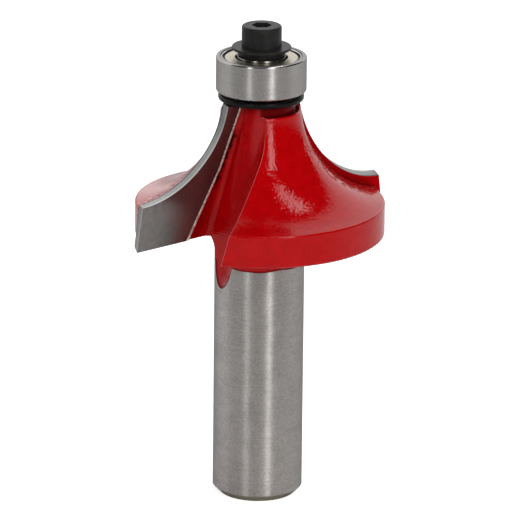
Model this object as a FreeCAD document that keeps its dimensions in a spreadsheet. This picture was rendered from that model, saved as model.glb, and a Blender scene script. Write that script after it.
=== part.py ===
import FreeCAD, Part
import math
import os
import re
import Sketcher
from FreeCAD import Placement, Rotation, Vector

# Cove router bit with a guide bearing, in millimetres.
# The bit's axis is Z. The shank's end face is at zero height and the bearing is on top.
# The two carbide tips lie along X: tip 1 at +X, tip 2 half a turn further.
# Seen from above, the bit cuts turning anticlockwise.

SIZES = {
    # Steel body
    "shank_diameter": (12.7, "half-inch shank"),
    "shank_chamfer": (1.0, "chamfer at the shank's end"),
    "head_bottom": (38.47, "height of the rim's lower edge"),
    "hub_drop": (0.8, "the underside's middle is below the rim by this much"),
    "hub_radius": (11.0, "the underside is level out to here, and rises to the rim"),
    "flare_height": (1.87, "height of the flare from shank to underside"),
    "flare_radius": (3.57, "radius of that flare's curve"),
    "rim_edge": (0.25, "rounding of the rim's edges"),
    "head_height": (19.33, "from the rim's lower edge to the neck's top face"),
    "neck_rise": (0.4, "neck's top face above the top of the cove"),
    "neck_height": (1.3, "height of the neck above the lobes"),
    "neck_inset": (0.76, "neck inside the top of the lobes"),
    "lobe_edge": (0.25, "rounding of the lobes' top edge"),
    "lobe_inset": (0.74, "top of the lobes, inside the bearing's radius"),
    "lobe_relief": (1.92, "lobes' hollow has a radius this much over the cove's"),
    "thread_gap": (0.05, "radial gap between the screw and its hole"),
    "drill_spare": (2.4, "depth of the screw's hole past the screw's end"),
    "drill_point": (118.0, "full angle of the drill's point, degrees"),
    "stub_drop": (0.6, "top of the pilot stub, below the inner ring's face"),
    "stub_gap": (0.01, "radial gap between the stub and what slides on it"),
    # Carbide tips
    "cove_radius": (12.7, "half-inch radius that the bit cuts"),
    "shear_angle": (14.0, "lean of the cutting faces, degrees"),
    "rake_rise": (17.53, "cutting face meets the axis plane this far above the rim's lower edge"),
    "tip_overhang": (1.49, "tips stand out of the rim by this much"),
    "tip_drop": (0.76, "tips reach below the rim by this much"),
    "tip_thickness": (2.0, "thickness of the carbide"),
    "tip_proud": (0.4, "cutting face in front of the gullet's wall"),
    "tip_root_top": (4.07, "inner edge of the face at the top"),
    "tip_root_bend": (6.0, "inner edge of the face at its bend"),
    "tip_root_bottom": (9.67, "inner edge of the face at the bottom"),
    "tip_bend_rise": (9.83, "height of that bend above the rim's lower edge"),
    "tip_relief": (14.0, "radial relief behind the cutting edge, degrees"),
    "tip_end_relief": (6.0, "relief under the tips and on top, degrees"),
    "braze_gap": (0.1, "thickness of the braze"),
    "seat_over": (2.0, "the seat's cutter runs past the head by this much"),
    # Gullets, sized at the neck's top
    "gullet_reach": (24.0, "gullet section's outer end, outside the head"),
    "gullet_root": (3.27, "distance of the root corner from the axis"),
    "gullet_floor": (6.45, "width of the floor"),
    "gullet_skew": (4.5, "turn of the floor from square, degrees"),
    "gullet_back": (37.0, "direction of the back wall, degrees"),
    "gullet_root_fillet": (1.0, "fillet at the root of the tip's wall"),
    "gullet_back_fillet": (3.0, "fillet between floor and back wall"),
    "gullet_lean": (5.65, "lean of the floor outwards going down, degrees"),
    "gullet_over": (0.1, "start of the gullet above the neck"),
    "runout_drop": (4.87, "the gullet starts to run out this far below the rim"),
    "runout_radius": (8.0, "radius on which it leaves the shank"),
    "runout_turn": (60.0, "angle of that curve's end, degrees"),
    # Lower shield, a loose spacer disc
    "spacer_foot_inset": (1.42, "foot inside the flange"),
    "spacer_foot_height": (0.1, "height of the foot"),
    "spacer_flange_inset": (0.33, "flange inside the bearing's radius"),
    "spacer_flange_height": (0.85, "thickness of the flange"),
    "spacer_edge": (0.3, "rounding of the flange"),
    "spacer_hub_height": (0.42, "height of the hub under the inner ring"),
    "hub_inset": (0.25, "hub and washer foot inside the inner ring's outer radius"),
    # Guide bearing
    "bearing_diameter": (12.7, "half-inch outer diameter"),
    "bearing_bore": (4.763, "three-sixteenths bore"),
    "bearing_width": (4.978, "width"),
    "ring_edge": (0.25, "rounding of the rings' edges"),
    "inner_land_inset": (0.92, "inner ring's outside, inside the balls' circle"),
    "outer_land_outset": (0.73, "outer ring's inside, outside the balls' circle"),
    "ball_diameter": (2.381, "three-thirty-seconds balls"),
    "ball_gap": (0.02, "gap between balls and raceways"),
    "groove_factor": (1.06, "raceway groove's radius over the ball's"),
    "recess_wall": (0.63, "ring's wall outside the recess for the shield and its wire ring"),
    "recess_depth": (0.5, "depth of that recess"),
    "cover_gap": (0.06, "gap between the bearing's shield and the recess's wall"),
    "cover_rim": (0.44, "width of the shield's rim, which lies on the ledge"),
    "cover_slope": (0.18, "width of the step in the shield"),
    "cover_clearance": (0.27, "gap between the shield and the inner ring"),
    "cover_thickness": (0.12, "sheet of the shield"),
    "cover_step": (0.12, "height of the step"),
    "wire_diameter": (0.3, "wire of the snap ring"),
    "wire_gap": (0.01, "gap between the wire and its groove"),
    "wire_opening": (12.0, "opening of the snap ring, degrees"),
    "wire_turn": (44.0, "direction of the opening, degrees"),
    "cage_inner_gap": (0.27, "gap between the cage and the inner ring"),
    "cage_outer_gap": (0.18, "gap between the cage and the outer ring"),
    "cage_sheet": (0.2, "sheet of the ball cage"),
    "pocket_gap": (0.05, "gap between balls and cage"),
    # Washer and screw
    "washer_gap": (0.15, "gap between the washer and the screw"),
    "washer_flare": (0.4, "foot grows by this much up to the flange"),
    "washer_foot_height": (0.95, "height of the foot"),
    "washer_overhang": (0.57, "flange outside the foot"),
    "washer_flange_height": (0.38, "thickness of the flange"),
    "washer_edge": (0.1, "rounding of the flange"),
    "screw_head_radius": (2.8, "head of the cap screw"),
    "screw_head_height": (3.0, "height of the head"),
    "screw_head_edge": (0.3, "rounding of the head"),
    "screw_radius": (1.45, "thread of the screw, taken as a plain rod"),
    "screw_length": (8.0, "length under the head"),
    "screw_end_chamfer": (0.3, "chamfer at the screw's end"),
    "socket_width": (2.5, "width across the socket's flats"),
    "socket_depth": (1.5, "depth of the socket"),
    "socket_turn": (19.6, "turn of the socket, degrees"),
}
TIP_COUNT = 2
BALL_COUNT = 7

# Heights and radii that follow from the sizes above, as formulas in their names
SHANK = "(shank_diameter / 2)"
UNDERSIDE = "(head_bottom - hub_drop)"
NECK_TOP = "(head_bottom + head_height)"
COVE_TOP = "(" + NECK_TOP + " - neck_rise)"
SHOULDER = "(" + NECK_TOP + " - neck_height)"
RAKE = "(head_bottom + rake_rise)"
TIP_BEND = "(head_bottom + tip_bend_rise)"
TIP_LOW = "(head_bottom - tip_drop)"
TIP = "(bearing_diameter / 2 + cove_radius)"
RIM = "(" + TIP + " - tip_overhang)"
LOBE_TOP = "(bearing_diameter / 2 - lobe_inset)"
LOBE_COVE = "(cove_radius + lobe_relief)"
LOBE_AXIS = "(" + LOBE_TOP + " + " + LOBE_COVE + ")"
NECK = "(" + LOBE_TOP + " - neck_inset)"
FLARE_END = "(shank_diameter / 2 + flare_radius - sqrt(flare_radius ^ 2 - flare_height ^ 2))"
FLANGE_LOW = "(" + NECK_TOP + " + spacer_foot_height)"
FLANGE_TOP = "(" + FLANGE_LOW + " + spacer_flange_height)"
BEARING_LOW = "(" + FLANGE_TOP + " + spacer_hub_height)"
BEARING_TOP = "(" + BEARING_LOW + " + bearing_width)"
BEARING_MID = "(" + BEARING_LOW + " + bearing_width / 2)"
STUB = "(bearing_bore / 2 - stub_gap)"
STUB_TOP = "(" + BEARING_TOP + " - stub_drop)"
BORE = "(bearing_bore / 2)"
WASHER_STEP = "(" + BEARING_TOP + " + washer_foot_height)"
WASHER_TOP = "(" + WASHER_STEP + " + washer_flange_height)"
SCREW_END = "(" + WASHER_TOP + " - screw_length)"
BALL = "(ball_diameter / 2)"
PITCH = "((bearing_bore + bearing_diameter) / 4)"
INNER_LAND = "(" + PITCH + " - inner_land_inset)"
OUTER_LAND = "(" + PITCH + " + outer_land_outset)"
RECESS = "(bearing_diameter / 2 - recess_wall)"
HUB = "(" + INNER_LAND + " - hub_inset)"
FLANGE = "(bearing_diameter / 2 - spacer_flange_inset)"
WASHER_NECK = "(" + HUB + " + washer_flare)"
WASHER_FLANGE = "(" + WASHER_NECK + " + washer_overhang)"
WASHER_BORE = "(screw_radius + washer_gap)"
THREAD = "(screw_radius + thread_gap)"

WORD = re.compile(r"[A-Za-z_][A-Za-z_0-9]*")

doc = FreeCAD.newDocument("cove_router_bit")
sheet = doc.addObject("Spreadsheet::Sheet", "Sizes")
for row, (alias, (number, note)) in enumerate(SIZES.items(), 1):
    sheet.set("A%d" % row, alias)
    sheet.set("B%d" % row, str(number))
    sheet.set("C%d" % row, note)
    sheet.setAlias("B%d" % row, alias)
doc.recompute()


def bound(formula):
    """The formula with each size read from the sheet."""
    def cell(match):
        return "Sizes." + match.group() if match.group() in SIZES else match.group()
    return WORD.sub(cell, formula)


def value(formula):
    """The formula's present value."""
    return float(sheet.evalExpression(bound(formula)))


def bind(item, prop, formula):
    item.setExpression(prop, bound(formula))


def new_body(name):
    body = doc.addObject("PartDesign::Body", name)
    body.Label = name
    return body


def origin_item(body, role):
    for item in body.Origin.OriginFeatures:
        if item.Role == role:
            return item


def sketch_on(body, role, name, tilt=None):
    """A sketch on one of the body's planes; tilt is its offset from that plane."""
    sketch = body.newObject("Sketcher::SketchObject", name)
    sketch.AttachmentSupport = [(origin_item(body, role), "")]
    sketch.MapMode = "FlatFace"
    if tilt is not None:
        sketch.AttachmentOffset = tilt
    return sketch


def pin_point(sketch, edge, end, x, y):
    """Ties an edge's end to its place, given as two formulas."""
    for kind, formula in (("DistanceX", x), ("DistanceY", y)):
        rule = Sketcher.Constraint(kind, -1, 1, edge, end, value(formula))
        index = sketch.addConstraint(rule)
        sketch.setExpression("Constraints[%d]" % index, bound(formula))


def outline(sketch, corners, closed=True):
    """Draws straight edges and arcs through the corners. A corner is (x, y), or (x, y, radius):
    a radius makes an arc to the next corner, bulging right of the way there, or left if it is
    written with a minus."""
    places = [Vector(value(corner[0]), value(corner[1]), 0) for corner in corners]
    count = len(corners) if closed else len(corners) - 1
    ends = []
    for index in range(count):
        a, b = places[index], places[(index + 1) % len(places)]
        if len(corners[index]) == 2:
            sketch.addGeometry(Part.LineSegment(a, b))
            ends.append((1, 2))
            continue
        formula = corners[index][2]
        left = formula.startswith("-")
        radius = value(formula.lstrip("-"))
        chord = b - a
        rise = radius - math.sqrt(radius ** 2 - (chord.Length / 2) ** 2)
        side = Vector(chord.y, -chord.x, 0).normalize() * (-rise if left else rise)
        edge = sketch.addGeometry(Part.Arc(a, (a + b) * 0.5 + side, b))
        ends.append((2, 1) if left else (1, 2))
        rule = sketch.addConstraint(Sketcher.Constraint("Radius", edge, radius))
        sketch.setExpression("Constraints[%d]" % rule, bound(formula.lstrip("-")))
    for index in range(count):
        pin_point(sketch, index, ends[index][0], corners[index][0], corners[index][1])
        following = (index + 1) % count
        if closed or following:
            joint = Sketcher.Constraint(
                "Coincident", index, ends[index][1], following, ends[following][0])
            sketch.addConstraint(joint)
    if not closed:
        pin_point(sketch, count - 1, ends[-1][1], corners[-1][0], corners[-1][1])


def turned(name, corners):
    """A body turned about Z from its half section, given as radius and height."""
    body = new_body(name)
    section = sketch_on(body, "XZ_Plane", name + "_section")
    outline(section, corners)
    turn = body.newObject("PartDesign::Revolution", name + "_turn")
    turn.Profile = section
    turn.ReferenceAxis = (section, ["V_Axis"])
    turn.Angle = 360
    return body


def repeat(body, name, features, count):
    """Repeats the features evenly about the body's Z axis."""
    pattern = body.newObject("PartDesign::PolarPattern", name)
    pattern.Originals = features
    pattern.Axis = (origin_item(body, "Z_Axis"), [""])
    pattern.Angle = 360
    pattern.Occurrences = count
    body.Tip = pattern
    return pattern


def about_z(degrees):
    return Placement(Vector(0, 0, 0), Rotation(Vector(0, 0, 1), degrees))


def tilted(depth="0"):
    """Offset of a sketch from the XZ plane to the leaning plane of a cutting face. Its origin is
    where the face meets the axis plane, its height runs up the lean, and depth is behind it."""
    lean = Rotation(Vector(1, 0, 0), -value("shear_angle"))
    return Placement(Vector(0, value(RAKE), 0) + lean.multVec(Vector(0, 0, value(depth))), lean)


def up_face(height):
    """Distance up the leaning face to a height."""
    return "((" + height + " - " + RAKE + ") / cos(shear_angle))"


def reach(radius, height, depth="0"):
    """Distance out, on the plane at a depth behind the cutting face and at a height, to a point
    at a radius from the axis."""
    aside = "((" + height + " - " + RAKE + ") * tan(shear_angle) - " + depth + " / cos(shear_angle))"
    return "sqrt((" + radius + ") ^ 2 - " + aside + " ^ 2)"


def root_edge(height):
    """Inner edge of a tip at a height on its face: two straight runs that meet at the bend."""
    if value(height) > value(TIP_BEND):
        slope = "(tip_root_bend - tip_root_top) / (" + NECK_TOP + " - " + TIP_BEND + ")"
    else:
        slope = "(tip_root_bottom - tip_root_bend) / (" + TIP_BEND + " - " + TIP_LOW + ")"
    return "(tip_root_bend - (" + height + " - " + TIP_BEND + ") * " + slope + ")"


def lobe_height(radius):
    """Height of the lobes' hollow at a radius."""
    return "(%s - sqrt(%s ^ 2 - (%s - (%s)) ^ 2))" % (COVE_TOP, LOBE_COVE, LOBE_AXIS, radius)


def lobe_radius(height):
    """Radius of the lobes' hollow at a height."""
    return "(%s - sqrt(%s ^ 2 - (%s - (%s)) ^ 2))" % (LOBE_AXIS, LOBE_COVE, COVE_TOP, height)


def head_corners():
    """Half section of the turned head, with its neck and the stub that carries the bearing."""
    return [
        ("0", "0"),
        (SHANK + " - shank_chamfer", "0"),
        (SHANK, "shank_chamfer"),
        (SHANK, UNDERSIDE + " - flare_height", "-flare_radius"),
        (FLARE_END, UNDERSIDE),
        ("hub_radius", UNDERSIDE),
        (RIM + " - rim_edge", "head_bottom", "rim_edge"),
        (RIM, "head_bottom + rim_edge"),
        (RIM, lobe_height(RIM) + " - rim_edge", "rim_edge"),
        (RIM + " - rim_edge", lobe_height(RIM + " - rim_edge"), "-" + LOBE_COVE),
        (lobe_radius(SHOULDER + " - lobe_edge"), SHOULDER + " - lobe_edge", "lobe_edge"),
        (lobe_radius(SHOULDER) + " - lobe_edge", SHOULDER),
        (NECK, SHOULDER),
        (NECK, NECK_TOP),
        (STUB, NECK_TOP),
        (STUB, STUB_TOP),
        ("0", STUB_TOP),
    ]


def add_drill(body):
    """Threaded hole down the stub, with its pointed end."""
    sketch = sketch_on(body, "XZ_Plane", "thread_hole_section")
    low = SCREW_END + " - drill_spare"
    outline(sketch, [
        ("0", low + " - " + THREAD + " / tan(drill_point / 2)"),
        (THREAD, low),
        (THREAD, STUB_TOP),
        ("0", STUB_TOP),
    ])
    hole = body.newObject("PartDesign::Groove", "thread_hole")
    hole.Profile = sketch
    hole.ReferenceAxis = (sketch, ["V_Axis"])
    hole.Angle = 360
    return hole


def add_gullet(body):
    """Chip gullet: one section carried down the lean of the cutting face and out of the shank."""
    top = "(" + NECK_TOP + " + gullet_over)"
    wall = "((" + top + " - " + RAKE + ") * tan(shear_angle) - tip_proud / cos(shear_angle))"
    back_x = "(gullet_root - gullet_floor * sin(gullet_skew))"
    back_y = "(" + wall + " + gullet_floor * cos(gullet_skew))"
    root_turn = "((90 - gullet_skew) / 2)"
    root_cut = "(gullet_root_fillet / tan(" + root_turn + "))"
    back_cut = "(gullet_back_fillet * tan((90 + gullet_skew - gullet_back) / 2))"
    section = sketch_on(body, "XY_Plane", "gullet_section")
    section.AttachmentOffset = Placement(Vector(0, 0, value(top)), Rotation())
    bind(section, "AttachmentOffset.Base.z", top)
    outline(section, [
        ("gullet_reach", wall),
        ("gullet_reach", back_y + " + (gullet_reach - " + back_x + ") * tan(gullet_back)"),
        (back_x + " + " + back_cut + " * cos(gullet_back)",
         back_y + " + " + back_cut + " * sin(gullet_back)", "gullet_back_fillet"),
        (back_x + " + " + back_cut + " * sin(gullet_skew)",
         back_y + " - " + back_cut + " * cos(gullet_skew)"),
        ("gullet_root - " + root_cut + " * sin(gullet_skew)",
         wall + " + " + root_cut + " * cos(gullet_skew)", "gullet_root_fillet"),
        ("gullet_root + " + root_cut, wall),
    ])
    path = sketch_on(body, "XZ_Plane", "gullet_path", tilted())
    start = up_face(top)
    bend = up_face("(head_bottom - runout_drop)")
    bend_x = "((" + start + " - " + bend + ") * tan(gullet_lean))"
    outline(path, [
        ("0", start),
        (bend_x, bend, "runout_radius"),
        (bend_x + " + runout_radius * (cos(gullet_lean) - cos(runout_turn))",
         bend + " - runout_radius * (sin(runout_turn) - sin(gullet_lean))"),
    ], closed=False)
    gullet = body.newObject("PartDesign::SubtractivePipe", "gullet")
    gullet.Profile = section
    gullet.Spine = path
    gullet.Mode = "Fixed"
    return gullet


def seat_corners():
    """Outline of a tip's seat on the gullet's wall: the tip's inner edge, a braze gap wider, and
    open outwards, upwards and downwards."""
    below = "(head_bottom - seat_over)"
    above = "(" + NECK_TOP + " + seat_over)"
    return [
        (TIP + " + seat_over", up_face(below)),
        (TIP + " + seat_over", up_face(above)),
        (root_edge(above) + " - braze_gap", up_face(above)),
        (root_edge(TIP_BEND) + " - braze_gap", up_face(TIP_BEND)),
        (root_edge(below) + " - braze_gap", up_face(below)),
    ]


def add_seat(body):
    """Milled seat for a tip, behind the gullet's wall."""
    sketch = sketch_on(body, "XZ_Plane", "seat_outline", tilted("tip_proud"))
    outline(sketch, seat_corners())
    seat = body.newObject("PartDesign::Pocket", "seat")
    seat.Profile = sketch
    seat.Reversed = True
    bind(seat, "Length", "tip_thickness - tip_proud + braze_gap")
    return seat


def steel_body():
    body = turned("bit_body", head_corners())
    add_drill(body)
    gullet = add_gullet(body)
    seat = add_seat(body)
    repeat(body, "both_sides", [gullet, seat], TIP_COUNT)
    return body


def tip_corners(behind):
    """Outline of a tip on its cutting face, or on its back when behind is 1. The back is smaller
    along the cutting edge and the bottom, by the relief, and its top is level with the face's."""
    depth = "(tip_thickness * %d)" % behind
    side = "(" + depth + " * tan(tip_relief))"
    pilot = "(bearing_diameter / 2 - " + side + ")"
    end = "(" + depth + " * tan(tip_end_relief))"
    low = "(" + TIP_LOW + " + " + end + ")"
    nose = "(" + COVE_TOP + " - cove_radius - " + end + ")"
    rise = "(" + depth + " * sin(shear_angle))"

    def up(height):
        return "(" + height + " - " + rise + ")"
    return [
        (reach(TIP + " - " + side, low, depth), up_face(up(low))),
        (reach(TIP + " - " + side, nose, depth), up_face(up(nose)), "-cove_radius"),
        (reach(pilot, COVE_TOP, depth), up_face(up(COVE_TOP))),
        (reach(pilot, NECK_TOP, depth), up_face(up(NECK_TOP))),
        (root_edge(up(NECK_TOP)), up_face(up(NECK_TOP))),
        (root_edge(TIP_BEND), up_face(TIP_BEND)),
        (root_edge(up(low)), up_face(up(low))),
    ]


def carbide_tip(name, turn):
    body = new_body(name)
    face = sketch_on(body, "XZ_Plane", name + "_face", tilted())
    outline(face, tip_corners(0))
    back = sketch_on(body, "XZ_Plane", name + "_back", tilted("tip_thickness"))
    outline(back, tip_corners(1))
    loft = body.newObject("PartDesign::AdditiveLoft", name + "_grind")
    loft.Profile = face
    loft.Sections = [back]
    loft.Ruled = True
    body.Placement = about_z(turn)
    return body


def seat_form(name, turn):
    """The seat's own volume, for the braze that fills what the tip leaves of it."""
    body = new_body(name)
    sketch = sketch_on(body, "XZ_Plane", name + "_outline", tilted("tip_proud"))
    outline(sketch, seat_corners())
    pad = body.newObject("PartDesign::Pad", name + "_pad")
    pad.Profile = sketch
    bind(pad, "Length", "tip_thickness - tip_proud + braze_gap")
    body.Placement = about_z(turn)
    return body


def braze_layer(name, head, seat, tip):
    within = doc.addObject("Part::Common", name + "_within")
    within.Base = seat
    within.Tool = head
    layer = doc.addObject("Part::Cut", name)
    layer.Label = name
    layer.Base = within
    layer.Tool = tip
    return layer


def lower_shield():
    low = FLANGE_LOW
    top = FLANGE_TOP
    return turned("lower_shield", [
        (BORE, NECK_TOP),
        (FLANGE + " - spacer_foot_inset", NECK_TOP),
        (FLANGE + " - spacer_foot_inset", low),
        (FLANGE + " - spacer_edge", low, "spacer_edge"),
        (FLANGE, low + " + spacer_edge"),
        (FLANGE, top + " - spacer_edge", "spacer_edge"),
        (FLANGE + " - spacer_edge", top),
        (HUB, top),
        (HUB, BEARING_LOW),
        (BORE, BEARING_LOW),
    ])


def groove_half(land):
    """Half the height of a raceway groove where it meets its land."""
    return "sqrt((" + BALL + " * groove_factor) ^ 2 - (" + land + ") ^ 2)"


def bearing_inner_ring():
    axis = "(" + PITCH + " - ball_gap + " + BALL + " * (groove_factor - 1))"
    half = groove_half(axis + " - " + INNER_LAND)
    return turned("bearing_inner_ring", [
        (BORE + " + ring_edge", BEARING_LOW),
        (INNER_LAND, BEARING_LOW),
        (INNER_LAND, BEARING_MID + " - " + half, "-" + BALL + " * groove_factor"),
        (INNER_LAND, BEARING_MID + " + " + half),
        (INNER_LAND, BEARING_TOP),
        (BORE + " + ring_edge", BEARING_TOP),
        (BORE, BEARING_TOP + " - ring_edge"),
        (BORE, BEARING_LOW + " + ring_edge"),
    ])


def bearing_outer_ring():
    axis = "(" + PITCH + " + ball_gap - " + BALL + " * (groove_factor - 1))"
    half = groove_half(OUTER_LAND + " - " + axis)
    outside = "(bearing_diameter / 2)"
    return turned("bearing_outer_ring", [
        (RECESS, BEARING_LOW),
        (outside + " - ring_edge", BEARING_LOW, "ring_edge"),
        (outside, BEARING_LOW + " + ring_edge"),
        (outside, BEARING_TOP + " - ring_edge", "ring_edge"),
        (outside + " - ring_edge", BEARING_TOP),
        (RECESS, BEARING_TOP),
        (RECESS, BEARING_TOP + " - recess_depth"),
        (OUTER_LAND, BEARING_TOP + " - recess_depth"),
        (OUTER_LAND, BEARING_MID + " + " + half, "-" + BALL + " * groove_factor"),
        (OUTER_LAND, BEARING_MID + " - " + half),
        (OUTER_LAND, BEARING_LOW + " + recess_depth"),
        (RECESS, BEARING_LOW + " + recess_depth"),
    ])


def bearing_cover(name, side):
    """Pressed shield: a flat rim on the ring's ledge and a flat web a step nearer the face. The
    side is +1 for the upper face and -1 for the lower one."""
    def height(formula):
        return "%s + %d * (bearing_width / 2 - recess_depth + %s)" % (BEARING_MID, side, formula)
    outside = RECESS + " - cover_gap"
    step_outer = outside + " - cover_rim"
    step_inner = step_outer + " - cover_slope"
    inside = INNER_LAND + " + cover_clearance"
    return turned(name, [
        (outside, height("0")),
        (outside, height("cover_thickness")),
        (step_outer, height("cover_thickness")),
        (step_inner, height("cover_thickness + cover_step")),
        (inside, height("cover_thickness + cover_step")),
        (inside, height("cover_step")),
        (step_inner, height("cover_step")),
        (step_outer, height("0")),
    ])


def snap_ring(name, side):
    """Wire ring in the recess, on the shield's rim, with its ends apart."""
    ring = doc.addObject("Part::Torus", name)
    ring.Label = name
    bind(ring, "Radius1", RECESS + " - wire_gap - wire_diameter / 2")
    bind(ring, "Radius2", "wire_diameter / 2")
    bind(ring, "Angle3", "360 - wire_opening")
    ring.Placement = about_z(value("wire_turn + wire_opening / 2"))
    rise = "bearing_width / 2 - recess_depth + cover_thickness + wire_diameter / 2"
    bind(ring, "Placement.Base.z", "%s + %d * (%s)" % (BEARING_MID, side, rise))
    return ring


def ball(name, index):
    turn = "(%d * 360 / %d)" % (index, BALL_COUNT)
    sphere = doc.addObject("Part::Sphere", name)
    sphere.Label = name
    bind(sphere, "Radius", BALL)
    bind(sphere, "Placement.Base.x", PITCH + " * cos" + turn)
    bind(sphere, "Placement.Base.y", PITCH + " * sin" + turn)
    bind(sphere, "Placement.Base.z", BEARING_MID)
    return sphere


def cage_tube(name, outer, side):
    """Plain ring of the cage's width, on one side of the balls' plane."""
    edge = "%s + %d * (%s)" % (BEARING_MID, side, outer)
    inside = INNER_LAND + " + cage_inner_gap"
    outside = OUTER_LAND + " - cage_outer_gap"
    return turned(name, [
        (inside, BEARING_MID),
        (outside, BEARING_MID),
        (outside, edge),
        (inside, edge),
    ])


def pocket_spheres(name, radius):
    spheres = []
    for index in range(BALL_COUNT):
        sphere = ball("%s_%d" % (name, index + 1), index)
        bind(sphere, "Radius", radius)
        spheres.append(sphere)
    return spheres


def cage_half(name, side):
    """Pressed ribbon: a thin web between the balls and a dome over each ball."""
    bowl = BALL + " + pocket_gap"
    domes = doc.addObject("Part::MultiFuse", name + "_domes")
    domes.Shapes = pocket_spheres(name + "_dome", bowl + " + cage_sheet")
    band = cage_tube(name + "_band", bowl + " + 2 * cage_sheet", side)
    domed = doc.addObject("Part::Common", name + "_domed")
    domed.Base = band
    domed.Tool = domes
    solid = doc.addObject("Part::Fuse", name + "_solid")
    solid.Base = cage_tube(name + "_web", "cage_sheet", side)
    solid.Tool = domed
    bowls = doc.addObject("Part::MultiFuse", name + "_bowls")
    bowls.Shapes = pocket_spheres(name + "_bowl", bowl)
    half = doc.addObject("Part::Cut", name)
    half.Label = name
    half.Base = solid
    half.Tool = bowls
    return half


def clamp_washer():
    return turned("clamp_washer", [
        (WASHER_BORE, BEARING_TOP),
        (HUB, BEARING_TOP),
        (WASHER_NECK, WASHER_STEP),
        (WASHER_FLANGE + " - washer_edge", WASHER_STEP, "washer_edge"),
        (WASHER_FLANGE, WASHER_STEP + " + washer_edge"),
        (WASHER_FLANGE, WASHER_TOP + " - washer_edge", "washer_edge"),
        (WASHER_FLANGE + " - washer_edge", WASHER_TOP),
        (WASHER_BORE, WASHER_TOP),
    ])


def cap_screw():
    top = "(" + WASHER_TOP + " + screw_head_height)"
    body = turned("cap_screw", [
        ("0", SCREW_END),
        ("screw_radius - screw_end_chamfer", SCREW_END),
        ("screw_radius", SCREW_END + " + screw_end_chamfer"),
        ("screw_radius", WASHER_TOP),
        ("screw_head_radius", WASHER_TOP),
        ("screw_head_radius", top + " - screw_head_edge", "screw_head_edge"),
        ("screw_head_radius - screw_head_edge", top),
        ("0", top),
    ])
    hexagon = sketch_on(body, "XY_Plane", "socket_outline")
    bind(hexagon, "AttachmentOffset.Base.z", top)
    corners = []
    for index in range(6):
        turn = "(socket_turn + %d)" % (60 * index)
        reach = "socket_width / 2 / cos(30)"
        corners.append((reach + " * cos" + turn, reach + " * sin" + turn))
    outline(hexagon, corners)
    socket = body.newObject("PartDesign::Pocket", "socket")
    socket.Profile = hexagon
    bind(socket, "Length", "socket_depth")
    return body


def build():
    """Makes every sub-part and returns those that are pieces of the bit."""
    head = turned("head_form", head_corners())
    pieces = [steel_body()]
    for number in range(1, TIP_COUNT + 1):
        turn = 360.0 * (number - 1) / TIP_COUNT
        tip = carbide_tip("carbide_tip_%d" % number, turn)
        seat = seat_form("seat_form_%d" % number, turn)
        pieces.append(tip)
        pieces.append(braze_layer("braze_layer_%d" % number, head, seat, tip))
    pieces += [lower_shield(), bearing_inner_ring(), bearing_outer_ring()]
    for name, side in (("upper", 1), ("lower", -1)):
        pieces.append(bearing_cover("bearing_shield_" + name, side))
        pieces.append(snap_ring("snap_ring_" + name, side))
        pieces.append(cage_half("cage_%s_half" % name, side))
    for index in range(BALL_COUNT):
        pieces.append(ball("bearing_ball_%d" % (index + 1), index))
    pieces += [clamp_washer(), cap_screw()]
    return pieces


def check(pieces):
    for item in doc.Objects:
        if "Invalid" in item.State or "Error" in item.State:
            raise RuntimeError("%s failed: %s" % (item.Name, item.State))
    for piece in pieces:
        if piece.Shape.isNull() or not piece.Shape.isValid() or not piece.Shape.Solids:
            raise RuntimeError("%s has no valid solid" % piece.Label)


pieces = build()
doc.recompute()
check(pieces)
os.makedirs("parts", exist_ok=True)
for piece in pieces:
    piece.Shape.exportStep("parts/%s.step" % piece.Label)
    box = piece.Shape.BoundBox
    print("%-22s %2d solid %9.2f mm3  z %.2f to %.2f" % (
        piece.Label, len(piece.Shape.Solids), piece.Shape.Volume, box.ZMin, box.ZMax))
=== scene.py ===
import math
import bmesh
import bpy
from mathutils import Matrix, Vector, noise


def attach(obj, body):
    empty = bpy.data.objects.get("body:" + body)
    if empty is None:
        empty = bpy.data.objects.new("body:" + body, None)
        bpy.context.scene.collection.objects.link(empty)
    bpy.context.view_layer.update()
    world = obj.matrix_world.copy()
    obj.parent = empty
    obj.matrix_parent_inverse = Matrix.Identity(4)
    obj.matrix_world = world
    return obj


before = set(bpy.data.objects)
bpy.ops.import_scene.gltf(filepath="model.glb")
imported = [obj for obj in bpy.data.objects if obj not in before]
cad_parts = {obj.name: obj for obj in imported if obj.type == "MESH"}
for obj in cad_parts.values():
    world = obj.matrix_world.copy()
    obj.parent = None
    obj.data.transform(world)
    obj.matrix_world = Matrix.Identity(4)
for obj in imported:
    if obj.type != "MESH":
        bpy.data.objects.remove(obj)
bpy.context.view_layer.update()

MM = 0.001

# Steel body: heights from the end of the shank and radii from the axis, in millimetres
SHANK_RADIUS = 6.35
CHAMFER_TOP = 1.0
UNDERSIDE = 37.67
HEAD_BOTTOM = 38.47
RIM_RADIUS = 17.56
LOBE_COVE = 14.62
LOBE_AXIS = 20.23
SHOULDER = 56.5
COVE_TOP = 57.4
NECK_TOP = 57.8
NECK_RADIUS = 4.85

# Radius of the step in the bearing's covers, in millimetres
COVER_STEP = 5.22

# Tips, in millimetres. The root is the inner edge of a tip's face, which bends once.
TIP_LOW = 37.71
RAKE_HEIGHT = 56.0
SHEAR = math.radians(14.0)
TIP_THICKNESS = 2.0
TIP_PROUD = 0.4
HONED = 0.5
BRAZE_GAP = 0.1
ROOT_TOP = 4.07
ROOT_BEND = 6.0
ROOT_BEND_HEIGHT = 48.3
ROOT_BOTTOM = 9.67
ROOT_SLOPE_ABOVE = (ROOT_BEND - ROOT_TOP) / (NECK_TOP - ROOT_BEND_HEIGHT)
ROOT_SLOPE_BELOW = (ROOT_BOTTOM - ROOT_BEND) / (ROOT_BEND_HEIGHT - TIP_LOW)

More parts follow.
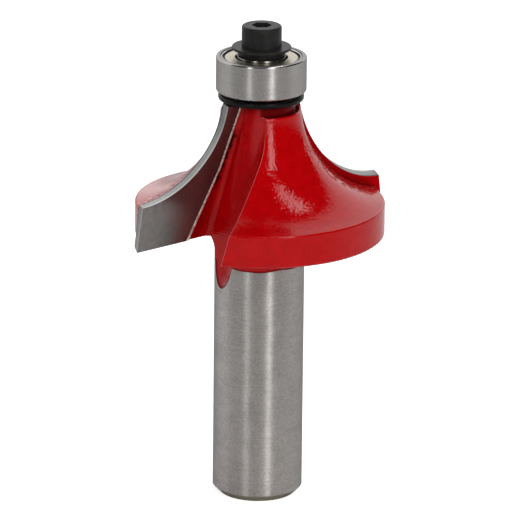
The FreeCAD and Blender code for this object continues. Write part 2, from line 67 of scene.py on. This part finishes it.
# Paint, in millimetres
PAINT_LINE = 34.42
PAINT_WANDER = 0.7
GROOVE_PAINT_LOW = 29.0

# Cutter marks, painted shade beside the braze seams and spatter on the paint, in millimetres. Four
# numbers say where each starts, where it is full, where it begins to fade and where it ends; two
# say only the last two.
MARK_SPACING = 0.24
MARK_WANDER = 0.6
MARK_HEIGHTS = (36.5, 38.0, 40.3, 41.8)
MARK_RADII = (16.0, 16.8)
SEAM_SHADE_HEIGHTS = (44.5, 47.0, 52.6, 54.2)
SEAM_SHADE_INWARD = (-0.6, -0.3, 0.95, 1.45)
SEAM_SHADE_BEHIND_FACE = (-1.2, -0.9, 0.6, 0.9)
SPATTER_HEIGHTS = (41.5, 43.0, 48.0, 53.0)
SPATTER_BEHIND_FACE = (1.9, 2.1, 3.6, 6.0)

# Beads of braze, in millimetres apart from the number of parts and sides. Two sizes of unevenness
# lie on each: how close its waves are, its shift at the second tip, its layer, and its height.
SEAM_PARTS = 160
SEAM_WIDTH = 0.62
SEAM_TAPER = 0.16
SEAM_OVERLAP = 0.02
SEAM_SINK = 0.05
SEAM_WAVES = ((1.7, 7.0, 0, 0.07), (5.0, 3.0, 2, 0.04))
BEAD_SIDES = 10
BEAD_START = 6.6
BEAD_STEP = 0.14
BEAD_RADIUS = 0.14
BEAD_WAVES = ((0.35, 5.0, 0, 0.1), (0.8, 3.0, 4, 0.12))

# Brightness of the studio away from the lamps
AMBIENT = 0.33
BACKDROP = 1.1
FLOOR_LIFT = 0.7
FLOOR_AHEAD = 0.72

# Height of the place that the lamps face, in metres
LAMP_AIM = 0.045

# Camera, found from the photograph, in degrees, millimetres and pixels
CAMERA_TURN = -40.4
CAMERA_RISE = 17.705
CAMERA_ROLL = 0.596
CAMERA_AIM = 34.11
CAMERA_DISTANCE = 781.07
LENS = 383.84
IMAGE_SIDE = 520
SHIFT_RIGHT = 0.61
SHIFT_UP = 0.5


def colour(red, green, blue):
    """A colour given as it looks on a screen, from 0 to 255."""
    def linear(level):
        level /= 255
        return level / 12.92 if level <= 0.04045 else ((level + 0.055) / 1.055) ** 2.4
    return (linear(red), linear(green), linear(blue), 1.0)


# Colours of the studio, enamel, steel, carbide, braze, covers and black oxide
WHITE = (1.0, 1.0, 1.0, 1.0)
PALE = (0.9, 0.9, 0.9, 1.0)
BLACK = (0.0, 0.0, 0.0, 1.0)
ENAMEL_DEEP = colour(174, 0, 4)
ENAMEL_BRIGHT = colour(184, 2, 8)
# Painted shade on the enamel in hollows and on the neck under the black shield
ENAMEL_IN_PAINTED_SHADE = colour(66, 0, 2)
# Painted shade along the cutter marks
ENAMEL_SHADED_IN_MARKS = colour(110, 0, 2)
# Painted highlight along the enamel's sharp edges
ENAMEL_EDGE_HIGHLIGHT = colour(240, 140, 130)
ENAMEL_ON_BEAD = colour(150, 10, 12)
# Dark red of painted shade beside the braze seams and on the tips' backs, and of the paint's dark
# edge on the shank
ENAMEL_ON_TIP = colour(50, 6, 8)
SHADE_AND_PAINT_EDGE_DARK = colour(44, 5, 4)
SHANK_STEEL = colour(196, 192, 188)
RING_STEEL = colour(184, 181, 178)
BALL_STEEL = colour(205, 205, 205)
# Painted shade on bare steel in hollows
STEEL_IN_PAINTED_SHADE = colour(40, 38, 36)
TARNISH = colour(166, 159, 144)
FACE_DARK = colour(128, 126, 124)
FACE_LIGHT = colour(147, 144, 141)
# Painted shade on a tip's face near the gullet's wall
FACE_IN_PAINTED_SHADE = colour(98, 98, 100)
BAND_DARK = colour(112, 115, 113)
BAND_LIGHT = colour(134, 137, 134)
# Honed land along the cutting edge, lighter with a painted gleam
HONED_LAND_AND_GLEAM = colour(168, 164, 162)
BACK_LINE = colour(34, 26, 26)
BRAZE_DARK = colour(158, 140, 122)
BRAZE_LIGHT = colour(244, 236, 226)
COVER_DARK = colour(186, 178, 160)
COVER_LIGHT = colour(214, 208, 194)
# Painted shade in the covers' corner under the wire ring
COVER_IN_PAINTED_SHADE = colour(36, 34, 31)
# Black oxide worn on the edges, lighter with a painted edge highlight
OXIDE_WORN_AND_SHEEN = colour(90, 88, 86)


def add_object(name, data):
    """Puts a camera, a lamp or a mesh into the scene."""
    item = bpy.data.objects.new(name, data)
    bpy.context.scene.collection.objects.link(item)
    return item


def add_shape(shape, name, material):
    """Makes a finished bmesh an object of the scene."""
    data = bpy.data.meshes.new(name)
    shape.to_mesh(data)
    shape.free()
    data.materials.append(material)
    return add_object(name, data)


def direction(turn, rise):
    """Unit vector towards a place seen from the bit: turn is degrees to the right of the camera,
    rise is degrees above the floor."""
    a = math.radians(CAMERA_TURN + turn)
    e = math.radians(rise)
    return Vector((math.sin(a) * math.cos(e), -math.cos(a) * math.cos(e), math.sin(e)))


def make_camera():
    camera = bpy.data.cameras.new("camera")
    camera.sensor_width = 36
    camera.lens = LENS
    camera.shift_x = SHIFT_RIGHT / IMAGE_SIDE
    camera.shift_y = SHIFT_UP / IMAGE_SIDE
    camera.dof.use_dof = False
    camera.clip_start = 0.01
    camera.clip_end = 50
    turn = math.radians(CAMERA_TURN)
    roll = math.radians(CAMERA_ROLL)
    back = direction(0, CAMERA_RISE)
    level = Vector((math.cos(turn), math.sin(turn), 0))
    up = back.cross(level)
    right = level * math.cos(roll) + up * math.sin(roll)
    upright = up * math.cos(roll) - level * math.sin(roll)
    place = Vector((0, 0, CAMERA_AIM * MM)) + back * CAMERA_DISTANCE * MM
    turned = Matrix((right, upright, back)).transposed().to_4x4()
    item = add_object("camera", camera)
    item.matrix_world = Matrix.Translation(place) @ turned
    bpy.context.scene.camera = item


class Nodes:
    """The nodes of a finish or of the world. Lengths are in millimetres."""

    def __init__(self, owner, output):
        self.owner = owner
        owner.use_nodes = True
        self.tree = owner.node_tree
        self.tree.nodes.clear()
        self.output = self.add(output)

    def add(self, kind, inputs=None, **settings):
        """A node; each input is a number, a colour or another node's socket."""
        node = self.tree.nodes.new(kind)
        for name, setting in settings.items():
            setattr(node, name, setting)
        for name, given in (inputs or {}).items():
            if isinstance(given, bpy.types.NodeSocket):
                self.tree.links.new(given, node.inputs[name])
            else:
                node.inputs[name].default_value = given
        return node

    def out(self, kind, inputs=None, **settings):
        """What a new node gives."""
        return next(socket for socket in self.add(kind, inputs, **settings).outputs
                    if socket.enabled)

    def done(self, shader):
        self.tree.links.new(shader, self.output.inputs["Surface"])
        return self.owner

    def math(self, operation, *given):
        return self.out("ShaderNodeMath", dict(enumerate(given)), operation=operation)

    def times(self, first, *others):
        for other in others:
            first = self.math("MULTIPLY", first, other)
        return first

    def plus(self, one, other):
        return self.math("ADD", one, other)

    def less(self, one, other):
        return self.math("SUBTRACT", one, other)

    def remainder(self, amount):
        """What is left of one."""
        return self.less(1.0, amount)

    def vector(self, operation, *given):
        return self.out("ShaderNodeVectorMath", dict(enumerate(given)), operation=operation)

    def join(self, x, y, z):
        return self.out("ShaderNodeCombineXYZ", {0: x, 1: y, 2: z})

    def ramp(self, amount, low, high, low_to=0.0, high_to=1.0):
        """Follows the amount smoothly from low to high."""
        given = {"Value": amount, "From Min": low, "From Max": high,
                 "To Min": low_to, "To Max": high_to}
        return self.out("ShaderNodeMapRange", given, interpolation_type="SMOOTHSTEP")

    def fade(self, amount, low, high):
        """One up to low, falling to zero at high."""
        return self.ramp(amount, low, high, 1.0, 0.0)

    def within(self, amount, start, full, fading, end, least=0.0):
        """The least up to start, one from full to fading and zero from end."""
        return self.times(self.ramp(amount, start, full, least), self.fade(amount, fading, end))

    def noise(self, vector, scale, detail=2.0, roughness=0.5):
        given = {"Vector": vector, "Scale": scale, "Detail": detail, "Roughness": roughness}
        return self.out("ShaderNodeTexNoise", given)

    def mix(self, amount, one, other):
        """A colour: one where the amount is zero and the other where it is one."""
        return self.out("ShaderNodeMix", {0: amount, 6: one, 7: other}, data_type="RGBA")

    def vary(self, level, one, other, low=0.3, high=0.7):
        """A colour that follows a noise level from one to the other."""
        return self.mix(self.ramp(level, low, high), one, other)

    def blend(self, amount, one, other):
        """A shader: one where the amount is zero and the other where it is one."""
        return self.out("ShaderNodeMixShader", {0: amount, 1: one, 2: other})

    def bump(self, height, distance, strength, normal=None):
        given = {"Height": height, "Distance": distance * MM, "Strength": strength}
        if normal is not None:
            given["Normal"] = normal
        return self.out("ShaderNodeBump", given)

    def rounded(self, radius):
        """Surface direction with its sharp edges softened."""
        return self.out("ShaderNodeBevel", {"Radius": radius * MM}, samples=8)

    def hollow(self, distance, low, high):
        """One in the open and less in a hollow that is about as wide as the distance. The finishes
        paint shade into their colours with it.
        """
        seen = self.add("ShaderNodeAmbientOcclusion", {"Distance": distance * MM}, samples=8)
        return self.ramp(seen.outputs["AO"], low, high)

    def corner(self, width):
        """One along a sharp outer edge."""
        seen = self.add("ShaderNodeAmbientOcclusion", {"Distance": width * MM},
                        samples=16, inside=True)
        return self.fade(seen.outputs["AO"], 0.55, 0.8)

    def shader(self, **inputs):
        """The main shader, with its sockets' names given with an underscore for each space."""
        names = {name.replace("_", " "): given for name, given in inputs.items()}
        return self.out("ShaderNodeBsdfPrincipled", names)

    def ray_is(self, *names):
        """One where the ray is any of the named kinds."""
        path = self.add("ShaderNodeLightPath")
        total = path.outputs[names[0]]
        for name in names[1:]:
            total = self.math("MAXIMUM", total, path.outputs[name])
        return total


class Finish(Nodes):
    """A material, with the place on the piece, its three parts and its distance from the bit's
    axis."""

    def __init__(self, name):
        super().__init__(bpy.data.materials.new(name), "ShaderNodeOutputMaterial")
        socket = self.add("ShaderNodeTexCoord").outputs["Object"]
        self.place = self.out("ShaderNodeVectorMath", {0: socket, "Scale": 1 / MM},
                              operation="SCALE")
        self.x, self.y, self.z = self.add("ShaderNodeSeparateXYZ", {0: self.place}).outputs
        squares = self.plus(self.times(self.x, self.x), self.times(self.y, self.y))
        self.radius = self.math("SQRT", squares)

    def angle(self):
        """Angle round the bit's axis."""
        return self.math("ARCTAN2", self.y, self.x)

    def around(self):
        """Direction round the bit's axis, for a turned or ground surface."""
        along = self.join(self.times(self.y, -1.0), self.x, 0.0)
        turned = self.out("ShaderNodeVectorTransform", {0: along}, vector_type="VECTOR",
                          convert_from="OBJECT", convert_to="WORLD")
        return self.vector("NORMALIZE", turned)

    def behind(self):
        """Distance behind the cutting face on the same side of the bit."""
        rise = self.times(self.less(self.z, RAKE_HEIGHT), math.sin(SHEAR))
        forward = self.times(self.y, self.math("SIGN", self.x), math.cos(SHEAR))
        return self.less(rise, forward)


def turned_steel(f, tone, roughness, spread, grain, speckle, clean=None):
    """Bare steel turned or ground round the axis: fine rings, cloudy patches, long highlights and
    painted shade in hollows.
    The spread draws the highlights out, the grain is how much the tone varies, and the speckle is
    the share of the grain that isn't rings. Where clean is zero the steel is tarnished."""
    rings = f.join(f.times(f.angle(), 1.2), f.times(f.radius, 6.0), f.times(f.z, 6.0))
    fine = f.noise(rings, scale=1.0, roughness=0.6)
    cloud = f.noise(f.place, scale=0.35, detail=3.0, roughness=0.6)
    mottle = f.noise(f.place, scale=3.6, detail=4.0, roughness=0.7)
    level = f.plus(f.times(fine, 1 - speckle), f.times(mottle, speckle))
    level = f.plus(level, f.times(f.less(cloud, 0.5), 0.35))
    dark = tuple(channel * (1 - grain) for channel in tone[:3]) + (1.0,)
    # Painted shade: the steel is darkened in hollows.
    base = f.mix(f.hollow(0.5, 0.3, 0.75), STEEL_IN_PAINTED_SHADE, f.vary(level, dark, tone))
    if clean is not None:
        base = f.mix(clean, TARNISH, base)
    return f.shader(
        Base_Color=base, Metallic=1.0, Specular_Tint=(0.55, 0.55, 0.55, 1),
        Roughness=f.ramp(cloud, 0.3, 0.7, roughness - 0.03, roughness + 0.03),
        Anisotropic=spread, Anisotropic_Rotation=0.25, Tangent=f.around(),
        Normal=f.bump(fine, distance=0.003, strength=0.2, normal=f.rounded(0.08)))


def enamel(f, marks=None, shade_and_paint_edge=None, lumps=None, edge=ENAMEL_EDGE_HIGHLIGHT):
    """Gloss red enamel with the waviness and fine grain of a sprayed coat. Painted shade darkens
    it and dims its gloss in hollows and on the neck under the black shield, and sharp edges take
    the edge colour, a pale pink painted highlight unless another colour is given. Marks is the
    height of cutter marks that show through it, with painted shade along them, lumps is the height
    of what lies under it, and the given darkening is painted shade and the dark edge of the paint."""
    waves = f.noise(f.place, scale=0.8)
    turning = f.noise(f.join(0.0, f.radius, f.z), scale=2.6)
    swell = f.plus(waves, f.times(turning, 0.4))
    normal = f.bump(swell, distance=0.05, strength=0.25, normal=f.rounded(0.15))
    grain = f.noise(f.place, scale=2.6, detail=1.0, roughness=0.6)
    normal = f.bump(grain, distance=0.05, strength=0.7, normal=normal)
    # Painted shade: the enamel is darkened, and its gloss dimmed, in hollows and on the neck under
    # the black shield, as its shadow.
    neck_shadow = f.times(f.ramp(f.z, SHOULDER - 0.05, SHOULDER + 0.1),
                   f.ramp(f.radius, NECK_RADIUS - 0.25, NECK_RADIUS - 0.1))
    unshaded = f.times(f.hollow(2.2, 0.25, 0.9), f.remainder(f.times(neck_shadow, 0.75)))
    base = f.mix(unshaded, ENAMEL_IN_PAINTED_SHADE, f.vary(waves, ENAMEL_DEEP, ENAMEL_BRIGHT))
    # Painted highlight: sharp outer edges take the edge colour.
    base = f.mix(f.corner(0.14), base, edge)
    if marks is not None:
        normal = f.bump(marks, distance=0.08, strength=0.8, normal=normal)
        # Painted shade along the cutter marks.
        base = f.mix(f.ramp(marks, 0.0, MARK_SPACING, 0.0, 0.3), base, ENAMEL_SHADED_IN_MARKS)
    if lumps is not None:
        normal = f.bump(lumps, distance=0.3, strength=0.9, normal=normal)
    if shade_and_paint_edge is not None:
        # Painted shade and the dark edge of the paint darken the enamel and dim its gloss.
        base = f.mix(shade_and_paint_edge, base, SHADE_AND_PAINT_EDGE_DARK)
        unshaded = f.times(unshaded, f.remainder(shade_and_paint_edge))
    return f.shader(Base_Color=base, Roughness=0.08, IOR=1.33,
                    Specular_IOR_Level=f.times(unshaded, 0.5), Normal=normal)


def body_finish():
    """Red head and bare shank of the steel body. The paint runs a little down the shank and all
    the way down the ends of the gullets, and its edge on the shank is dark."""
    f = Finish("red_enamel_and_bare_shank")
    wander = f.times(f.less(f.noise(f.place, scale=0.28), 0.5), PAINT_WANDER)
    height = f.plus(f.z, wander)
    below = f.fade(height, PAINT_LINE - 0.05, PAINT_LINE + 0.05)
    outside = f.ramp(f.radius, SHANK_RADIUS - 0.06, SHANK_RADIUS - 0.03)
    clear = f.fade(f.z, GROOVE_PAINT_LOW, GROOVE_PAINT_LOW + 0.1)
    bare = f.times(below, f.math("MAXIMUM", outside, clear))
    steel = turned_steel(f, SHANK_STEEL, roughness=0.32, spread=0.8, grain=0.36, speckle=0.72,
                         clean=f.ramp(f.z, CHAMFER_TOP, CHAMFER_TOP + 0.05))
    line = f.fade(height, PAINT_LINE + 0.15, PAINT_LINE + 0.3)
    brink = f.ramp(f.radius, SHANK_RADIUS - 0.34, SHANK_RADIUS - 0.18)
    paint_edge = f.times(line, brink, 0.65)
    # Painted shade beside the braze seams, together with the dark edge of the paint on the shank.
    shade_and_paint_edge = f.math("MAXIMUM", seam_corner_shade(f), paint_edge)
    red = enamel(f, cutter_marks(f), shade_and_paint_edge, braze_spatter(f))
    return f.done(f.blend(bare, red, steel))


def cutter_marks(f):
    """Steps that the gullet's cutter leaves near the rim."""
    along = f.plus(f.z, f.times(f.math("ABSOLUTE", f.x), 0.5))
    wander = f.times(f.noise(f.place, scale=0.5), MARK_WANDER)
    steps = f.math("PINGPONG", f.plus(along, wander), MARK_SPACING)
    return f.times(steps, f.within(f.z, *MARK_HEIGHTS), f.fade(f.radius, *MARK_RADII))


def seam_corner_shade(f):
    """Painted shade in the corner between a braze seam and the gullet's wall."""
    root = f.less(ROOT_BEND, f.times(f.less(f.z, ROOT_BEND_HEIGHT), ROOT_SLOPE_ABOVE))
    ragged = f.less(f.noise(f.place, scale=1.6), 0.5)
    inward = f.plus(f.less(root, f.math("ABSOLUTE", f.x)), ragged)
    near = f.within(f.behind(), *SEAM_SHADE_BEHIND_FACE)
    height = f.within(f.z, *SEAM_SHADE_HEIGHTS, least=0.3)
    return f.times(near, height, f.within(inward, *SEAM_SHADE_INWARD))


def braze_spatter(f):
    """Low lumps of braze on the lobes, close behind the tips."""
    lumps = f.ramp(f.noise(f.place, scale=1.3, detail=1.0), 0.5, 0.72)
    near = f.within(f.behind(), *SPATTER_BEHIND_FACE)
    return f.times(lumps, near, f.within(f.z, *SPATTER_HEIGHTS))


def carbide_finish(name):
    """Ground carbide: the face, with painted shade near the gullet's wall, the relief band behind
    its honed land, which has a painted gleam, and the enamelled back, with painted shade on it.
    """
    f = Finish(name)
    behind = f.behind()
    stretched = f.vector("MULTIPLY", f.place, (14.0, 14.0, 1.2))
    lines = f.noise(stretched, scale=1.0, detail=3.0, roughness=0.6)
    cloud = f.noise(f.place, scale=1.2, detail=3.0, roughness=0.6)
    level = f.plus(f.times(lines, 0.5), f.times(cloud, 0.5))
    face = f.vary(level, FACE_DARK, FACE_LIGHT, 0.35, 0.65)
    # Painted shade on the face near the gullet's wall.
    face = f.mix(f.hollow(8.0, 0.5, 0.9), FACE_IN_PAINTED_SHADE, face)
    band = f.vary(level, BAND_DARK, BAND_LIGHT, 0.35, 0.65)
    # The honed land along the cutting edge is lighter: a real land with a painted gleam on it.
    band = f.mix(f.fade(behind, HONED - 0.1, HONED), band, HONED_LAND_AND_GLEAM)
    back = f.ramp(behind, TIP_THICKNESS - 0.36, TIP_THICKNESS - 0.3)
    relief = f.ramp(behind, 0.01, 0.04)
    ground = f.shader(
        Base_Color=f.mix(relief, face, f.mix(back, band, BACK_LINE)), Metallic=0.92,
        Roughness=f.ramp(relief, 0.0, 1.0, 0.27, 0.34),
        Normal=f.bump(lines, distance=0.002, strength=0.3, normal=f.rounded(0.04)))
    painted = f.ramp(behind, TIP_THICKNESS - 0.03, TIP_THICKNESS - 0.01)
    # Painted shade on the enamelled back, darker where the lobe closes round it.
    shade_and_paint_edge = f.times(f.remainder(f.hollow(9.0, 0.5, 1.0)), 0.95)
    return f.done(f.blend(painted, ground, enamel(f, shade_and_paint_edge=shade_and_paint_edge, edge=ENAMEL_ON_TIP)))


def braze_finish(name):
    """Silver braze, bare where it was ground with the face and under the enamel at the back."""
    f = Finish(name)
    lumps = f.noise(f.place, scale=3.0, detail=3.0, roughness=0.6)
    bare = f.shader(Base_Color=f.vary(lumps, BRAZE_DARK, BRAZE_LIGHT, 0.38, 0.62), Metallic=0.4,
                    Roughness=0.42, Normal=f.bump(lumps, distance=0.05, strength=0.5))
    painted = f.ramp(f.behind(), TIP_PROUD + 0.1, TIP_PROUD + 0.2)
    return f.done(f.blend(painted, bare, enamel(f)))


def bead_finish():
    """Enamel over a bead of braze."""
    f = Finish("red_enamel_on_braze")
    return f.done(enamel(f, edge=ENAMEL_ON_BEAD))


def ring_finish(name, tone, roughness, spread):
    f = Finish(name)
    return f.done(turned_steel(f, tone, roughness, spread, grain=0.08, speckle=0.05))


def cover_finish():
    """Pressed sheet steel with a warm, dull sheen, and painted shade in the corner under the wire
    ring.
    """
    f = Finish("pressed_cover_steel")
    cloud = f.noise(f.place, scale=2.2, detail=3.0, roughness=0.6)
    # Painted shade in the corner under the wire ring.
    corner = f.ramp(f.radius, COVER_STEP - 0.18, COVER_STEP - 0.06)
    return f.done(f.shader(
        Base_Color=f.mix(corner, f.vary(cloud, COVER_DARK, COVER_LIGHT), COVER_IN_PAINTED_SHADE),
        Metallic=1.0, Roughness=0.38,
        Normal=f.bump(cloud, distance=0.01, strength=0.4, normal=f.rounded(0.05))))


def black_finish(name, level, roughness):
    """Black oxide of a brightness from 0 to 255, nearly even, lighter on the edges with wear and a
    painted edge highlight.
    """
    f = Finish(name)
    speck = f.noise(f.place, scale=6.0, detail=3.0, roughness=0.6)
    cloud = f.noise(f.place, scale=0.9)
    dark = colour(level * 0.85, level * 0.83, level * 0.82)
    light = colour(level * 1.1, level * 1.08, level * 1.06)
    # Lighter sharp edges in speckled patches: wear with a painted edge highlight.
    worn_and_sheen = f.times(f.corner(0.1), f.ramp(speck, 0.45, 0.6))
    spokes = f.noise(f.join(f.times(f.angle(), 22.0), f.radius, f.z), scale=1.0)
    height = f.plus(speck, f.times(spokes, 0.8))
    return f.done(f.shader(
        Base_Color=f.mix(worn_and_sheen, f.vary(cloud, dark, light), OXIDE_WORN_AND_SHEEN), IOR=1.36,
        Roughness=f.ramp(speck, 0.3, 0.7, roughness - 0.05, roughness + 0.05),
        Specular_IOR_Level=0.25,
        Normal=f.bump(height, distance=0.008, strength=0.4, normal=f.rounded(0.12))))


def face_y(height, depth):
    """How far a cutting face, or a depth behind it, stands forward of the axis at a height."""
    return ((height - RAKE_HEIGHT) * math.sin(SHEAR) - depth) / math.cos(SHEAR)


def face_point(side, out, height, depth):
    """A place at a depth behind a cutting face, in metres. The side is +1 for the tip at +X."""
    return Vector((side * out, side * face_y(height, depth), height)) * MM


def root_out(height):
    """How far out the inner edge of a tip's face is at a height."""
    slope = ROOT_SLOPE_ABOVE if height > ROOT_BEND_HEIGHT else ROOT_SLOPE_BELOW
    return ROOT_BEND - (height - ROOT_BEND_HEIGHT) * slope


def lobe_height(radius):
    """Height of the lobe's cove at a radius."""
    return COVE_TOP - math.sqrt(LOBE_COVE ** 2 - (LOBE_AXIS - radius) ** 2)


def unevenness(waves, along, number):
    """How much a bead swells at a place along it. The number is the tip's."""
    return sum(height * noise.noise(Vector((along * rate, number * shift, layer)))
               for rate, shift, layer, height in waves)


def cut_lengthwise(shape, parts):
    """Cuts the long edges of an upright bar, one unit high, into equal parts."""
    upright = [edge for edge in shape.edges
               if abs(edge.verts[0].co.z - edge.verts[1].co.z) > 0.5]
    bmesh.ops.subdivide_edges(shape, edges=upright, cuts=parts - 1, use_grid_fill=True)


def seam(number, side, material):
    """Strip of braze along the inner edge of a tip, ground level with the face at the carbide and
    falling to the gullet's wall. It starts as a bar with one bevelled edge, laid along the tip."""
    low = UNDERSIDE + 0.05
    high = NECK_TOP - 0.1
    sunk = TIP_PROUD + SEAM_SINK
    shape = bmesh.new()
    bmesh.ops.create_cube(shape, size=1.0, matrix=Matrix.Translation((0.5, 0.5, 0.5)))
    outer = [edge for edge in shape.edges
             if all(vert.co.x > 0.9 and vert.co.y > 0.9 for vert in edge.verts)]
    bmesh.ops.bevel(shape, geom=outer, offset=0.3, segments=2, profile=0.5, affect="EDGES",
                    material=-1)
    cut_lengthwise(shape, SEAM_PARTS)
    for vert in shape.verts:
        across, level, share = vert.co
        height = low + (high - low) * share
        width = SEAM_WIDTH - SEAM_TAPER * share + unevenness(SEAM_WAVES, height, number)
        out = root_out(height) + SEAM_OVERLAP - (width + SEAM_OVERLAP) * across
        depth = sunk - level * (sunk - 0.015 - 0.02 * across)
        vert.co = face_point(side, out, height, depth)
    finish_piece(shape, "braze_seam_%d" % number, material)


def bead_path():
    """Radius and height of places along the back edge of a tip, over the cove and down the rim."""
    path = []
    radius = BEAD_START
    while radius < RIM_RADIUS:
        path.append((radius, lobe_height(radius)))
        radius += BEAD_STEP
    height = lobe_height(RIM_RADIUS) - 0.1
    while height > HEAD_BOTTOM + 0.1:
        path.append((RIM_RADIUS, height))
        height -= BEAD_STEP
    return path


def back_bead(number, side, material):
    """Bead of braze under the enamel, where a tip's back meets the lobe and the rim. It starts as
    a round bar, bent along the tip's back edge."""
    depth = TIP_THICKNESS + BRAZE_GAP
    path = bead_path()
    last = len(path) - 1
    shape = bmesh.new()
    bmesh.ops.create_cone(shape, cap_ends=True, segments=BEAD_SIDES, radius1=1.0, radius2=1.0,
                          depth=1.0, matrix=Matrix.Translation((0, 0, 0.5)))
    cut_lengthwise(shape, last)
    sideways = Vector((0, side, 0))
    for vert in shape.verts:
        index = round(vert.co.z * last)
        radius, height = path[index]
        out = math.sqrt(radius ** 2 - face_y(height, depth) ** 2)
        centre = face_point(side, out, height, depth)
        before = path[max(index - 1, 0)]
        after = path[min(index + 1, last)]
        along = Vector((side * (after[0] - before[0]), 0, after[1] - before[1])).normalized()
        across = sideways.cross(along).normalized()
        swell = (BEAD_RADIUS + unevenness(BEAD_WAVES, index, number)) * MM
        vert.co = centre + across * swell * vert.co.y + sideways * swell * 1.1 * vert.co.x
    finish_piece(shape, "back_bead_%d" % number, material)


def finish_piece(shape, name, material):
    """Turns a shape into a piece that rides on the steel body."""
    bmesh.ops.recalc_face_normals(shape, faces=shape.faces)
    piece = add_shape(shape, name, material)
    piece.data.shade_smooth()
    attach(piece, "root")


def dress(material, *nodes):
    """Gives CAD nodes their finish."""
    for node in nodes:
        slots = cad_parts[node].data.materials
        slots.clear()
        slots.append(material)


def dress_nodes():
    """Finishes every CAD node and lays the beads of braze along both tips."""
    balls = [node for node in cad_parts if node.startswith("bearing_ball")]
    dress(body_finish(), "bit_body")
    dress(ring_finish("ground_ring_steel", RING_STEEL, 0.27, 0.8),
          "bearing_inner_ring", "bearing_outer_ring")
    dress(ring_finish("polished_ball_steel", BALL_STEEL, 0.1, 0.0),
          "snap_ring_upper", "snap_ring_lower", *balls)
    dress(cover_finish(), "bearing_shield_upper", "bearing_shield_lower",
          "cage_upper_half", "cage_lower_half")
    dress(black_finish("black_oxide", 36, 0.38), "cap_screw")
    dress(black_finish("black_oxide_washer", 40, 0.36), "clamp_washer")
    dress(black_finish("black_oxide_spacer", 16, 0.3), "lower_shield")
    bead = bead_finish()
    for number, side in ((1, 1), (2, -1)):
        dress(carbide_finish("ground_carbide_%d" % number), "carbide_tip_%d" % number)
        braze = braze_finish("silver_braze_%d" % number)
        dress(braze, "braze_layer_%d" % number)
        seam(number, side, braze)
        back_bead(number, side, bead)


def lamp(name, turn, rise, distance, width, height, level, gloss=True):
    """A softbox that faces the head. Its width lies level and its level is the brightness of its
    surface. The gloss shows it unless told otherwise."""
    light = bpy.data.lights.new(name, "AREA")
    light.shape = "RECTANGLE"
    light.size = width
    light.size_y = height
    light.energy = level * math.pi * width * height
    item = add_object(name, light)
    way = direction(turn, rise)
    place = Vector((0, 0, LAMP_AIM)) + way * distance
    turned = way.to_track_quat("Z", "Y").to_matrix().to_4x4()
    item.matrix_world = Matrix.Translation(place) @ turned
    item.visible_camera = False
    item.visible_glossy = gloss


def make_world():
    """White for what the camera sees, a lit backdrop for the gloss, a soft light for the rest."""
    world = bpy.data.worlds.new("studio")
    bpy.context.scene.world = world
    w = Nodes(world, "ShaderNodeOutputWorld")
    soft, lit, white = (
        w.out("ShaderNodeBackground", {"Color": WHITE, "Strength": level})
        for level in (AMBIENT, BACKDROP, 1.0))
    around = w.blend(w.ray_is("Is Glossy Ray"), soft, lit)
    w.done(w.blend(w.ray_is("Is Camera Ray", "Is Transmission Ray"), around, white))


def make_floor():
    """Pale floor. What the camera sees of it is lifted to white, less the bit's own shadow, and
    the gloss sees it darker ahead of the bit."""
    shape = bmesh.new()
    bmesh.ops.create_circle(shape, cap_ends=True, segments=64, radius=3.0)
    f = Finish("pale_floor")
    matt = f.out("ShaderNodeBsdfDiffuse", {"Color": PALE})
    lift = f.out("ShaderNodeEmission", {"Color": WHITE, "Strength": FLOOR_LIFT})
    lifted = f.out("ShaderNodeAddShader", {0: matt, 1: lift})
    ahead = f.vector("DOT_PRODUCT", f.place, tuple(direction(0, 0)))
    dim = f.ramp(ahead, 20.0, 80.0, 1.0, FLOOR_AHEAD)
    shine = f.out("ShaderNodeBsdfDiffuse", {"Color": f.mix(dim, BLACK, PALE)})
    rest = f.blend(f.ray_is("Is Glossy Ray"), matt, shine)
    seen = f.ray_is("Is Camera Ray", "Is Transmission Ray")
    floor = add_shape(shape, "floor", f.done(f.blend(seen, rest, lifted)))


def make_dark_cloth(low, turn, rise, half_angle, radius, level):
    """Dark cloth over the camera's side of the studio that only the gloss sees. Turn and rise give
    its middle, and it ends at a low edge near the floor."""
    shape = bmesh.new()
    bmesh.ops.create_uvsphere(shape, u_segments=128, v_segments=128, radius=radius)
    middle = direction(turn, rise)
    floor_edge = Vector((0, 0, radius * math.sin(math.radians(low))))
    open_edge = middle * radius * math.cos(math.radians(half_angle))
    for place, way in ((floor_edge, Vector((0, 0, -1))), (open_edge, -middle)):
        bmesh.ops.bisect_plane(shape, geom=shape.verts[:] + shape.edges[:] + shape.faces[:],
                               plane_co=place, plane_no=way, clear_outer=True)
    f = Finish("dark_cloth")
    cloth = add_shape(shape, "dark_cloth",
                      f.done(f.out("ShaderNodeEmission", {"Strength": level})))
    cloth.visible_camera = False
    cloth.visible_diffuse = False
    cloth.visible_shadow = False
    cloth.visible_transmission = False


make_camera()
make_world()
make_floor()
make_dark_cloth(low=-3, turn=25, rise=5, half_angle=105, radius=1.5, level=0.02)
lamp("strip_left", turn=-29, rise=21.5, distance=0.9, width=0.14, height=0.78, level=4.5)
lamp("strip_right", turn=27, rise=21, distance=0.9, width=0.16, height=0.88, level=7.4)
lamp("overhead", turn=89, rise=67, distance=0.9, width=0.63, height=0.15, level=4.9)
lamp("rear_left", turn=-168, rise=11.5, distance=1.2, width=0.26, height=0.36, level=0.7)
lamp("rear_fill", turn=160, rise=38, distance=1.3, width=0.8, height=0.5, level=2.4, gloss=False)
dress_nodes()

bpy.context.scene.view_settings.view_transform = "Standard"
